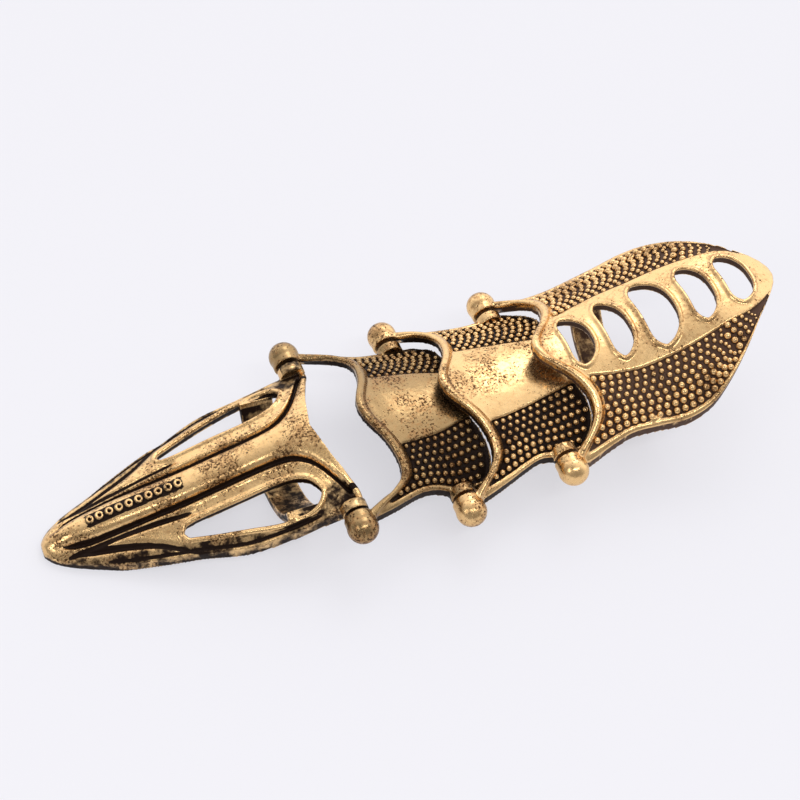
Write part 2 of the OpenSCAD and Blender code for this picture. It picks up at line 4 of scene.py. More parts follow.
import bmesh
import bpy
import numpy as np
from mathutils import Matrix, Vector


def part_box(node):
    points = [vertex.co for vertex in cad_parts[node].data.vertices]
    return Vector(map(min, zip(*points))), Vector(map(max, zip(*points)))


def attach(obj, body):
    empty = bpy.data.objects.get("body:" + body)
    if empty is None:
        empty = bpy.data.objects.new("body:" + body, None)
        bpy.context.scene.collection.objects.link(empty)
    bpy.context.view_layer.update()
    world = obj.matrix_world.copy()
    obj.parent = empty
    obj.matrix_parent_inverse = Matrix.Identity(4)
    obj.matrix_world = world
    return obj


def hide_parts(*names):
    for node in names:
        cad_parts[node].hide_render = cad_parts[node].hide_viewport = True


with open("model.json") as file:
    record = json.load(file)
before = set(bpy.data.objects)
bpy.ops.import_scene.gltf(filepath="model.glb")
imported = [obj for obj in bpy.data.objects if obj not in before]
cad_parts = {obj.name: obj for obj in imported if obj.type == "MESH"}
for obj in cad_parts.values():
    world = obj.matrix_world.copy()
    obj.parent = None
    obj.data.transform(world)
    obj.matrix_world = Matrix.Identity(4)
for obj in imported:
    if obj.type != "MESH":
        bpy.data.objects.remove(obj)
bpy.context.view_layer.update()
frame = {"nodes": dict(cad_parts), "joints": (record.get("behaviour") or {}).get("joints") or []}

# Hand plate
# The largest casting lies over the base of the finger: a leaf shaped plate with five crescent holes,
# beaded sides and a wavy front rim that runs out to two ball ends. It is cast in one with its finger
# band, so all of it is modelled in millimetres, fused into one body and softened as a casting is.
MM = 0.001
WALL = 1.1
LIP_HEIGHT = 0.5
LIP_WIDTH = 1.2
EAR = 1.4
PIN_INTO_BALL = 0.3
SIDE_GAP = 0.4
ARM_INSET = 0.4
SWING_GAP = 0.15
SETTLING_ROUNDS = 12

# How much of the rim's middle peak and of its run out to the balls is felt at a share of the arms'
# half width
RIM_WAVE = [
    (0.00, 1.00, 0.00),
    (0.10, 0.92, 0.00),
    (0.20, 0.68, 0.00),
    (0.32, 0.34, 0.00),
    (0.45, 0.10, 0.00),
    (0.58, 0.00, 0.00),
    (0.70, 0.00, 0.06),
    (0.80, 0.00, 0.30),
    (0.88, 0.00, 0.60),
    (0.94, 0.00, 0.82),
    (1.00, 0.00, 1.00),
]
# Places under the rim that the plate in front has to clear: share of its width, share of its height
RIM_UNDERSIDE = [(0, 0.6), (0.25, 1), (0.75, 0.85), (1, 0), (2, 0)]


def along(rows, column, x):
    """A smooth curve through the rows of a table, read from one of its columns."""
    table = np.array(rows, float)
    places, values = table[:, 0], table[:, column]
    last = len(places) - 1
    before = np.maximum(np.arange(last + 1) - 1, 0)
    after = np.minimum(np.arange(last + 1) + 1, last)
    slopes = (values[after] - values[before]) / (places[after] - places[before])
    x = np.clip(x, places[0], places[-1])
    i = np.clip(np.searchsorted(places, x) - 1, 0, last - 1)
    w = places[i + 1] - places[i]
    u = (x - places[i]) / w
    return (
        values[i] * (2 * u**3 - 3 * u**2 + 1)
        + slopes[i] * w * (u**3 - 2 * u**2 + u)
        + values[i + 1] * (3 * u**2 - 2 * u**3)
        + slopes[i + 1] * w * (u**3 - u**2)
    )


class Plate:
    """An arched plate that hangs on the hinge at its front. x counts from that hinge, in millimetres."""

    def __init__(self, joint, pin, length, height, half, sections, shoulder, peak, behind=None):
        place = next(j["pos_m"] for j in frame["joints"] if j["name"] == joint)
        self.hinge = np.array(place) / MM
        self.ball_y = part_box(pin)[1].y / MM - PIN_INTO_BALL
        self.lug_y = self.ball_y - EAR - SIDE_GAP
        self.arm = self.ball_y - ARM_INSET
        self.length = length
        self.height = height
        self.half = half or self.arm
        self.sections = sections
        self.shoulder = shoulder
        self.peak = peak
        self.behind = behind

    def crest(self, x):
        return self.height * along(self.sections, 1, x / self.length)

    def half_width(self, x):
        return self.half * along(self.sections, 2, x / self.length)

    def edge_height(self, x):
        return self.height * along(self.sections, 3, x / self.length)

    def panel(self, x):
        return along(self.sections, 4, x / self.length)

    def sag(self, x):
        return (self.crest(x) - self.edge_height(x)) / self.half_width(x) ** 2

    def z(self, x, y):
        return self.crest(x) - self.sag(x) * y**2

    def steep(self, x, y):
        return np.sqrt(1 + (2 * self.sag(x) * y) ** 2)

    def rim(self, y):
        """x of the front edge."""
        share = np.abs(y) / self.arm
        to_peak = (self.shoulder - self.peak) * along(RIM_WAVE, 1, share)
        to_balls = self.shoulder * along(RIM_WAVE, 2, share)
        return self.length * (self.shoulder - (to_peak + to_balls))

    def underside(self, x, y, rise):
        return self.z(x, y) + LIP_HEIGHT * rise - WALL * self.steep(x, y)

    def swing(self, y):
        """Radius round the hinge that the rim leaves free for the plate in front."""
        rim = self.rim(y)
        near = [
            np.hypot(rim + LIP_WIDTH * s, self.underside(rim + LIP_WIDTH * s, y, rise) - self.hinge[2])
            for s, rise in RIM_UNDERSIDE
        ]
        return np.min(near, axis=0) - SWING_GAP

    def rear(self, y):
        """x of the rear edge, which lies under the rim of the plate behind and clears its swing."""
        if self.behind is None:
            return np.full_like(y, self.length)
        pitch = self.behind.hinge[0] - self.hinge[0]
        drop = self.z(pitch + self.behind.rim(y), y) - self.behind.hinge[2]
        return pitch + np.sqrt(np.maximum(self.behind.swing(y) ** 2 - drop**2, 0))

    def place(self, kind, share, side, column):
        """Where a line across the plate meets a column along it. kind 0 is the smooth panel and kind 1
        the beaded side, and column gives x from the rim's and the rear edge's."""
        x = np.zeros(np.broadcast(share, side).shape)
        for _ in range(SETTLING_ROUNDS):
            p = self.panel(x)
            y = side * self.half_width(x) * np.where(kind == 0, p * share, p + (1 - p) * share)
            x = column(self.rim(y), self.rear(y))
        return x, y

    def out_of(self, x, y, height):
        """The point at a height over the smooth surface, measured square to it."""
        slope = 2 * self.sag(x) * y
        n = np.sqrt(1 + slope**2)
        return np.stack([x, y + slope / n * height, self.z(x, y) + height / n], -1)


def mesh_of(name, points, faces):
    mesh = bpy.data.meshes.new(name)
    mesh.from_pydata(points.tolist(), [], faces)
    mesh.update()
    return mesh


def piece_of(name, points, faces):
    """A new piece in the scene, from its points and faces."""
    piece = bpy.data.objects.new(name, mesh_of(name, points, faces))
    bpy.context.scene.collection.objects.link(piece)
    return piece


def wall_between(name, outer, inner):
    """A closed wall between two nets of points with the same rows and columns."""
    rows, columns = outer.shape[:2]
    points = np.concatenate([outer.reshape(-1, 3), inner.reshape(-1, 3)])
    base = rows * columns
    r, c = np.meshgrid(np.arange(rows - 1), np.arange(columns - 1), indexing="ij")
    a = (r * columns + c).ravel()
    top = np.stack([a, a + columns, a + columns + 1, a + 1], -1)
    under = np.stack([a, a + 1, a + columns + 1, a + columns], -1) + base
    first_row = np.arange(columns)
    last_column = columns * np.arange(2, rows) - 1
    last_row = base - 1 - np.arange(columns)
    first_column = columns * np.arange(rows - 2, 0, -1)
    ring = np.concatenate([first_row, last_column, last_row, first_column])
    after = np.roll(ring, -1)
    edge = np.stack([ring, after, after + base, ring + base], -1)
    return piece_of(name, points, np.concatenate([top, under, edge]).tolist())


# The rim's own section: share of its width, share of its height
RIM_SECTION = [(0.0, 0.45), (0.12, 0.8), (0.3, 1.0), (0.55, 0.98), (0.8, 0.6), (0.93, 0.15), (1.0, 0.0)]
# The ground under the beads is sunk. These are shares of a side's width, from the panel to the edge:
# full depth begins, full depth ends, and level with the surface again.
GROUND_DEPTH = 0.35
SIDE_START = 0.05
SIDE_END = 0.9
SIDE_EDGE = 0.94
# Share of the way from the rim to the rear edge over which the ground sinks, and rises again
GROUND_SLOPE = 0.03
# Lines of points on one half of a plate, as shares of the panel and of the beaded side
PANEL_LINES = np.linspace(0, 1, 13)
SIDE_LINES = [0.02, SIDE_START, *np.linspace(0.1, SIDE_END, 22), 0.92, SIDE_EDGE, 0.97, 1.0]
RIM_COLUMNS = 11
PLATE_COLUMNS = 49


def step(low, high, x):
    """Rises smoothly from 0 at low to 1 at high."""
    t = np.clip((x - low) / (high - low), 0, 1)
    return t * t * (3 - 2 * t)


def plate_shell(name, plate, bead_end):
    """The wall of a plate with its rim, its smooth panel and the sunk ground of its beaded sides."""
    half = np.array([(0, s) for s in PANEL_LINES] + [(1, s) for s in SIDE_LINES], float)
    kind = np.concatenate([half[:0:-1, 0], half[:, 0]])[:, None]
    share = np.concatenate([half[:0:-1, 1], half[:, 1]])[:, None]
    side = np.concatenate([-np.ones(len(half) - 1), np.ones(len(half))])[:, None]
    in_rim = np.linspace(0, 1, RIM_COLUMNS)
    in_plate = np.linspace(0, 1, PLATE_COLUMNS)[1:]
    count = len(in_rim) + len(in_plate)
    rim_share = np.concatenate([in_rim, np.ones(len(in_plate))])[None]
    plate_share = np.concatenate([np.zeros(len(in_rim)), in_plate])[None]

    def column(rim, rear):
        return rim + LIP_WIDTH * rim_share + (rear - rim - LIP_WIDTH) * plate_share

    kind, share, side = (np.broadcast_to(v, (len(kind), count)) for v in (kind, share, side))
    x, y = plate.place(kind, share, side, column)
    rise = np.where(plate_share > 0, 0, along(RIM_SECTION, 1, rim_share))
    sunk = (kind == 1) * step(0.0, SIDE_START, share) * (1 - step(SIDE_END, SIDE_EDGE, share))
    sunk = sunk * step(0, GROUND_SLOPE, plate_share)
    sunk = sunk * (1 - step(bead_end, bead_end + GROUND_SLOPE, plate_share))
    outer = plate.out_of(x, y, LIP_HEIGHT * rise - GROUND_DEPTH * sunk)
    inner = np.stack([x, y, plate.underside(x, y, rise)], -1)
    shift = np.array([plate.hinge[0], 0, 0])
    return wall_between(name, outer + shift, inner + shift)


# The leaf's sections. Columns: share of the length behind the hinge, then the crest's height, the half
# width, the edge's height and the smooth panel's part of the width, all as shares.
HAND_SECTIONS = [
    (0.00, 0.780, 1.035, 0.375, 0.32),
    (0.08, 0.762, 1.015, 0.388, 0.33),
    (0.17, 0.762, 0.960, 0.430, 0.39),
    (0.26, 0.775, 0.930, 0.486, 0.46),
    (0.36, 0.802, 0.958, 0.515, 0.49),
    (0.48, 0.852, 1.000, 0.545, 0.47),
    (0.58, 0.905, 0.982, 0.640, 0.47),
    (0.66, 0.945, 0.880, 0.765, 0.50),
    (0.75, 0.980, 0.706, 0.885, 0.58),
    (0.85, 0.998, 0.470, 0.965, 0.78),
    (0.93, 0.985, 0.285, 0.970, 0.90),
    (0.98, 0.965, 0.150, 0.958, 0.92),
    (1.00, 0.950, 0.060, 0.948, 0.92),
]
HAND_LENGTH = 28.4
HAND_BEAD_END = 0.94
hand = Plate(
    "hand_hinge",
    "hand_pin_right",
    length=HAND_LENGTH,
    height=15.3,
    half=11.3,
    sections=HAND_SECTIONS,
    shoulder=0.137,
    peak=-0.0035,
)
hand_plate = plate_shell("hand_plate_casting", hand, HAND_BEAD_END)

# The five crescent holes: distance from the hinge to the flat side and length as shares of the
# plate's length, half width as a share of the leaf's
HAND_HOLES = [
    (0.116, 0.130, 0.295),
    (0.278, 0.120, 0.345),
    (0.426, 0.155, 0.395),
    (0.613, 0.123, 0.335),
    (0.764, 0.137, 0.300),
]
# An outline's points are HOLE_TURN degrees apart. The shares and powers under it shape its two sides.
HOLE_TURN = 7.5
HOLE_HOLLOW = 0.1
HOLE_CORNER = 0.35
CORNER_POWER = 5
BACK_POWER = 2.4
BACK_FULLNESS = 0.55
HOLE_LIP = 0.24
HOLE_LIP_RISE = 0.02
CUT_TOP = 20
WIRE_SIDES = 10
BAR_SIDES = 40
LUG_DIAMETER = 2.8


def hole_outline(start, length, half):
    """A crescent from above: a hollow front side with round corners and a full rear side."""
    p = np.sin(np.radians(np.arange(-90, 90, HOLE_TURN)))
    front = start + length * (HOLE_HOLLOW * (1 - p**2) + HOLE_CORNER * np.abs(p) ** CORNER_POWER)
    round_back = (1 - np.abs(p) ** BACK_POWER) ** BACK_FULLNESS
    back = start + length * (HOLE_CORNER + (1 - HOLE_CORNER) * round_back)
    return np.c_[HAND_LENGTH * np.concatenate([front, back]), hand.half * half * np.concatenate([p, -p])]


def cutter_over(outline):
    """Points and faces of an upright cutter from the table to CUT_TOP."""
    outline = np.array(outline, float)
    after = np.roll(outline, -1, 0)
    if (outline[:, 0] * after[:, 1] - outline[:, 1] * after[:, 0]).sum() < 0:
        outline = outline[::-1]
    count = len(outline)
    points = np.concatenate([np.c_[outline, np.zeros(count)], np.c_[outline, np.full(count, CUT_TOP)]])
    faces = [(i, (i + 1) % count, count + (i + 1) % count, count + i) for i in range(count)]
    faces += [tuple(range(count))[::-1], tuple(range(count, 2 * count))]
    return points, faces


def wire(points, radius, closed=False):
    """Points and faces of a round bar along a line that runs over the top of a surface."""
    points = np.array(points, float)
    count = len(points)
    if closed:
        ahead = np.roll(points, -1, 0) - np.roll(points, 1, 0)
    else:
        ahead = np.gradient(points, axis=0)
    ahead /= np.linalg.norm(ahead, axis=1)[:, None]
    across = np.cross(ahead, [0.0, 0, 1])
    across /= np.linalg.norm(across, axis=1)[:, None]
    up = np.cross(across, ahead)
    turn = np.arange(WIRE_SIDES) * 2 * math.pi / WIRE_SIDES
    size = np.broadcast_to(radius, count)[:, None, None]
    outward = np.cos(turn)[None, :, None] * across[:, None] + np.sin(turn)[None, :, None] * up[:, None]
    ring = points[:, None] + size * outward
    faces = []
    for i in range(count if closed else count - 1):
        j = (i + 1) % count
        for s in range(WIRE_SIDES):
            t = (s + 1) % WIRE_SIDES
            a, b = i * WIRE_SIDES, j * WIRE_SIDES
            faces.append((a + s, a + t, b + t, b + s))
    if not closed:
        faces.append(tuple(range(WIRE_SIDES))[::-1])
        faces.append(tuple((count - 1) * WIRE_SIDES + s for s in range(WIRE_SIDES)))
    return ring.reshape(-1, 3), faces


def bar_across(x, z, y_from, y_to, diameter):
    """Points and faces of a round bar along Y."""
    n = BAR_SIDES
    turn = np.arange(n) * 2 * math.pi / n
    end = np.stack([x + diameter / 2 * np.cos(turn), np.zeros(n), z - diameter / 2 * np.sin(turn)], -1)
    points = np.concatenate([end + [0, y_from, 0], end + [0, y_to, 0]])
    faces = [(s, (s + 1) % n, n + (s + 1) % n, n + s) for s in range(n)]
    faces += [tuple(range(n))[::-1], tuple(range(n, 2 * n))]
    return points, faces


def ball_pocket(plate):
    """The room between a plate's two ears for the lugs of the piece in front."""
    inner = plate.ball_y - EAR
    return bar_across(plate.hinge[0], plate.hinge[2], -inner, inner, LUG_DIAMETER + 2 * SIDE_GAP)


def carry_out(piece):
    """Carries out a piece's modifiers."""
    bpy.context.view_layer.update()
    ready = bpy.data.meshes.new_from_object(piece.evaluated_get(bpy.context.evaluated_depsgraph_get()))
    old = piece.data
    piece.modifiers.clear()
    piece.data = ready
    bpy.data.meshes.remove(old)


def cut_all(piece, cutters):
    """Cuts solid cutters, each given as points and faces, out of a piece."""
    for cutter in cutters:
        tool = piece_of("cutter", *cutter)
        cut = piece.modifiers.new("cut", "BOOLEAN")
        cut.operation = "DIFFERENCE"
        cut.solver = "MANIFOLD"
        cut.object = tool
        carry_out(piece)
        bpy.data.objects.remove(tool)


hand_lips = []
hand_cutters = []
for start, length, half in HAND_HOLES:
    outline = hole_outline(start, length, half)
    hand_cutters.append(cutter_over(outline + [hand.hinge[0], 0]))
    lip = hand.out_of(outline[:, 0], outline[:, 1], HOLE_LIP_RISE) + [hand.hinge[0], 0, 0]
    hand_lips.append(wire(lip, HOLE_LIP, closed=True))
cut_all(hand_plate, [*hand_cutters, ball_pocket(hand)])

# The ears and balls on the two arms, and the rim's last stretch, which thickens as it runs onto them
BALL = 3.3
EAR_DIAMETER = 0.94 * BALL
ARM_RIDGE_FROM = 0.84
ARM_RIDGE_POINTS = 14
ARM_RIDGE_INSET = 0.5
ARM_RIDGE_LEAST_X = 0.1
ARM_RIDGE_THIN = 0.3
ARM_RIDGE_THICK = 0.62
ARM_RIDGE_RISE = 0.3


def ball(centre, diameter, around=32, rings=18):
    """Points and faces of a ball."""
    tilt = np.linspace(0, math.pi, rings + 1)[1:-1]
    turn = np.arange(around) * 2 * math.pi / around
    body = np.stack(
        [
            np.outer(np.sin(tilt), np.cos(turn)).ravel(),
            np.outer(np.sin(tilt), np.sin(turn)).ravel(),
            np.outer(np.cos(tilt), np.ones(around)).ravel(),
        ],
        -1,
    )
    unit = np.concatenate([body, [[0, 0, 1], [0, 0, -1]]])
    top, foot = len(body), len(body) + 1
    faces = []
    for s in range(around):
        t = (s + 1) % around
        faces.append((top, s, t))
        for r in range(rings - 2):
            faces.append((r * around + s, (r + 1) * around + s, (r + 1) * around + t, r * around + t))
        faces.append((foot, (rings - 2) * around + t, (rings - 2) * around + s))
    return np.array(centre) + unit * diameter / 2, faces


def ears_and_balls(plate):
    parts = []
    for side in (-1, 1):
        y = sorted((side * (plate.ball_y - EAR), side * plate.ball_y))
        parts.append(bar_across(plate.hinge[0], plate.hinge[2], *y, EAR_DIAMETER))
        parts.append(ball((plate.hinge[0], side * plate.ball_y, plate.hinge[2]), BALL))
    return parts


def arm_ridges(plate):
    ridges = []
    for side in (-1, 1):
        y = np.linspace(ARM_RIDGE_FROM, 1.0, ARM_RIDGE_POINTS) * plate.arm
        x = np.maximum(plate.rim(y) + ARM_RIDGE_INSET, ARM_RIDGE_LEAST_X)
        line = np.c_[x, side * y, plate.z(x, y)]
        line = np.concatenate([line, [[0, side * plate.ball_y, plate.hinge[2] + ARM_RIDGE_RISE]]])
        radii = np.linspace(ARM_RIDGE_THIN, ARM_RIDGE_THICK, len(line))
        ridges.append(wire(line + [plate.hinge[0], 0, 0], radii))
    return ridges


def lay_in(piece, parts):
    """Adds solid parts, each given as points and faces, to a piece as they are."""
    for part in parts:
        added = mesh_of("part", *part)
        both = bmesh.new()
        both.from_mesh(piece.data)
        both.from_mesh(added)
        both.to_mesh(piece.data)
        both.free()
        bpy.data.meshes.remove(added)


lay_in(hand_plate, ears_and_balls(hand) + arm_ridges(hand))

# The finger band: a flat strip bent to an arc that is open at the top, where it runs into the plate
BAND = 0.9
BAND_STEPS = 61
HAND_BAND_BACK = 9.6


def band_part(x_from, width, inner_diameter, lift, half_angle):
    """Points and faces of a finger band."""
    r = inner_diameter / 2
    turn = np.radians(np.linspace(-half_angle, half_angle, BAND_STEPS))
    z = lift + BAND + r
    inner = np.stack([np.zeros_like(turn), r * np.sin(turn), z - r * np.cos(turn)], -1)
    outer = np.stack([np.zeros_like(turn), (r + BAND) * np.sin(turn), z - (r + BAND) * np.cos(turn)], -1)
    front_side, back_side = [x_from, 0, 0], [x_from + width, 0, 0]
    corners = np.stack([outer + front_side, outer + back_side, inner + back_side, inner + front_side], 1)
    count = len(turn)
    faces = [
        (i * 4 + s, i * 4 + (s + 1) % 4, i * 4 + 4 + (s + 1) % 4, i * 4 + 4 + s)
        for i in range(count - 1)
        for s in range(4)
    ]
    faces += [(3, 2, 1, 0), tuple((count - 1) * 4 + s for s in range(4))]
    return corners.reshape(-1, 3), faces


hand_band = band_part(hand.hinge[0] + HAND_BAND_BACK, width=3.8, inner_diameter=19.2, lift=0, half_angle=78)
lay_in(hand_plate, [hand_band])

CAST_GRAIN = 0.12
SOFTENING = 0.5
MOST_TRIANGLES = 120000


def as_cast(piece, grain=CAST_GRAIN, rounds=3):
    """Fuses all that lies in the piece into one skin and softens its edges as a casting's are."""
    fuse = piece.modifiers.new("fuse", "REMESH")
    fuse.mode = "VOXEL"
    fuse.voxel_size = grain
    soften = piece.modifiers.new("soften", "SMOOTH")
    soften.factor = SOFTENING
    soften.iterations = rounds
    carry_out(piece)
    thin = piece.modifiers.new("thin", "DECIMATE")
    thin.ratio = min(1, MOST_TRIANGLES / (2 * len(piece.data.polygons)))
    carry_out(piece)


lay_in(hand_plate, hand_lips)
as_cast(hand_plate)

# Small domed beads stand in rows on both sides. Where a side is too narrow for all its rows, every
# second row ends and the others take its room.
BEAD_LINE_START = 0.03
BEAD_LINE_SPREAD = SIDE_END - 0.02
BEAD_LINE_POINTS = 300
BEAD_START = 0.5
BEAD_RISE = 0.12
NARROW_ROW = 0.5
SMALLEST_BEAD = 0.28


def bead_rows(plate, rows, pitch, fill, reach):
    """Points and faces of a plate's beads."""
    dome, dome_faces = ball((0, 0, 0), 1, around=10, rings=7)
    u = np.linspace(0, 1, BEAD_LINE_POINTS)
    points, faces = [], []

    def column(rim, rear):
        return rim + LIP_WIDTH + (rear - rim - LIP_WIDTH) * reach * u

    for side in (-1, 1):
        for row in range(rows):
            lines = []
            for share in (row, row + 0.5, row + 1):
                across = np.full_like(u, BEAD_LINE_START + BEAD_LINE_SPREAD * share / rows)
                x, y = plate.place(1, across, side, column)
                lines.append(plate.out_of(x, y, -GROUND_DEPTH))
            line = lines[1]
            run = np.concatenate([[0], np.cumsum(np.linalg.norm(np.diff(line, axis=0), axis=1))])
            room = np.linalg.norm(lines[2] - lines[0], axis=1)
            at = BEAD_START + pitch * (0.5 * (row % 2) + np.arange(int(run[-1] / pitch) + 1))
            for a in at[at < run[-1] - BEAD_START / 2]:
                centre = np.array([np.interp(a, run, line[:, c]) for c in range(3)])
                width = np.interp(a, run, room)
                narrow = width < NARROW_ROW
                if narrow and row % 2:
                    continue
                size = min(fill * pitch, fill * width * (2 if narrow else 1))
                if size < SMALLEST_BEAD:
                    continue
                slope = 2 * plate.sag(centre[0]) * centre[1]
                up = np.array([0, slope, 1]) / math.hypot(slope, 1)
                over = np.array([1.0, 0, 0])
                turned = np.stack([over, np.cross(up, over), up])
                base = sum(len(p) for p in points)
                points.append(centre + up * BEAD_RISE * size + (dome * size) @ turned)
                faces += [tuple(i + base for i in f) for f in dome_faces]
    return np.concatenate(points) + [plate.hinge[0], 0, 0], faces


# The finish is antique gold: cast metal plated yellow, dipped in dark brown patina and rubbed bright
# again, so the patina stays in the sunk ground, in creases and in a rash of small pits.
# Columns: two depths under the smooth surface, and how the patina changes from one to the other. It
# fills the ground, and is thinner on the wall of a hole and underneath.
PATINA_CHANGES = [(0.0, 0.3, 1.0), (0.45, 0.65, -0.2), (0.85, 1.1, -0.23)]
HOLLOW_ROUNDS = 2
HOLLOW_KEEP = 0.4
HOLLOW_DARK = 2.2
MOST_PROUD = -0.25
MOST_HOLLOW = 0.4
# The balls' clean patch ends soon behind the ears: a step inward counts this many times
INWARD_WEIGHT = 9
BALL_MARGIN = 0.15


def hollowness(mesh):
    """The corners of a mesh, and how hollow (over 0) or proud (under 0) the surface is round each."""
    count = len(mesh.vertices)
    points = np.empty(count * 3, np.float32)
    mesh.vertices.foreach_get("co", points)
    points = points.reshape(-1, 3)
    normals = np.empty(count * 3, np.float32)
    mesh.vertex_normals.foreach_get("vector", normals)
    normals = normals.reshape(-1, 3)
    edges = np.empty(len(mesh.edges) * 2, np.int64)
    mesh.edges.foreach_get("vertices", edges)
    a, b = edges.reshape(-1, 2).T
    way = points[b] - points[a]
    way /= np.maximum(np.linalg.norm(way, axis=1), 1e-9)[:, None]
    ends = np.concatenate([a, b])
    bend = np.concatenate([(normals[a] * way).sum(1), -(normals[b] * way).sum(1)])
    degree = np.bincount(ends, minlength=count)
    value = np.bincount(ends, bend, count) / np.maximum(degree, 1)
    for _ in range(HOLLOW_ROUNDS):
        mean = np.bincount(a, value[b], count) + np.bincount(b, value[a], count)
        value = HOLLOW_KEEP * value + (1 - HOLLOW_KEEP) * mean / np.maximum(degree, 1)
    return points, value


def near_balls(plate, points):
    """True for the points on a plate's two balls and the ears that carry them."""
    from_hinge = points - plate.hinge
    from_ball = np.maximum(plate.ball_y - EAR - np.abs(points[:, 1]), 0) * INWARD_WEIGHT
    from_ball = np.maximum(from_ball, np.abs(points[:, 1]) - plate.ball_y)
    return np.hypot(np.hypot(from_hinge[:, 0], from_hinge[:, 2]), from_ball) < BALL / 2 + BALL_MARGIN


def patina_of(depth, hollow):
    """How dark the patina is: it fills what lies deep or hollow, and is rubbed off what stands proud."""
    deep = sum(change * step(low, high, depth) for low, high, change in PATINA_CHANGES)
    return np.clip(deep + HOLLOW_DARK * np.clip(hollow, MOST_PROUD, MOST_HOLLOW), 0, 1)


def write_patina(mesh, patina):
    layer = mesh.attributes.new("patina", "FLOAT", "POINT")
    layer.data.foreach_set("value", patina.astype(np.float32))


LIGHT_GOLD = (0.93, 0.64, 0.31)
DEEP_GOLD = (0.78, 0.48, 0.2)
# Colour of the painted shade in creases and recesses
PAINTED_SHADE_GOLD = (0.5, 0.19, 0.035)
SOILED_GOLD = (0.36, 0.18, 0.07)
PIT_BROWN = (0.06, 0.026, 0.01)
DARK_PATINA = (0.014, 0.006, 0.003)
BROWN_PATINA = (0.085, 0.045, 0.028)


def node(tree, kind, **settings):
    made = tree.nodes.new(kind)
    for name, value in settings.items():
        if name in made.inputs:
            made.inputs[name].default_value = value
        else:
            setattr(made, name, value)
    return made


def noise(tree, where, scale, detail=3.0, rough=0.55):
    made = node(tree, "ShaderNodeTexNoise", Scale=scale, Detail=detail, Roughness=rough)
    tree.links.new(where, made.inputs["Vector"])
    return made.outputs["Fac"]


def ramp(tree, value, low, high, to_low=0.0, to_high=1.0):
    """Goes smoothly from to_low to to_high while a value goes from low to high."""
    made = tree.nodes.new("ShaderNodeMapRange")
    made.interpolation_type = "SMOOTHSTEP"
    tree.links.new(value, made.inputs["Value"])
    for name, number in (("From Min", low), ("From Max", high), ("To Min", to_low), ("To Max", to_high)):
        made.inputs[name].default_value = number
    return made.outputs["Result"]


def sum_of(tree, a, b, how="ADD"):
    made = tree.nodes.new("ShaderNodeMath")
    made.operation = how
    for socket, value in zip(made.inputs, (a, b)):
        if isinstance(value, (int, float)):
            socket.default_value = value
        else:
            tree.links.new(value, socket)
    return made.outputs[0]


def part_of(tree, value, share):
    return sum_of(tree, value, share, "MULTIPLY")


def blend_of(tree, share, a, b):
    made = tree.nodes.new("ShaderNodeMix")
    made.data_type = "RGBA"
    tree.links.new(share, made.inputs["Factor"])
    for socket, value in ((made.inputs["A"], a), (made.inputs["B"], b)):
        if isinstance(value, tuple):
            socket.default_value = (*value, 1)
        else:
            tree.links.new(value, socket)
    return made.outputs["Result"]


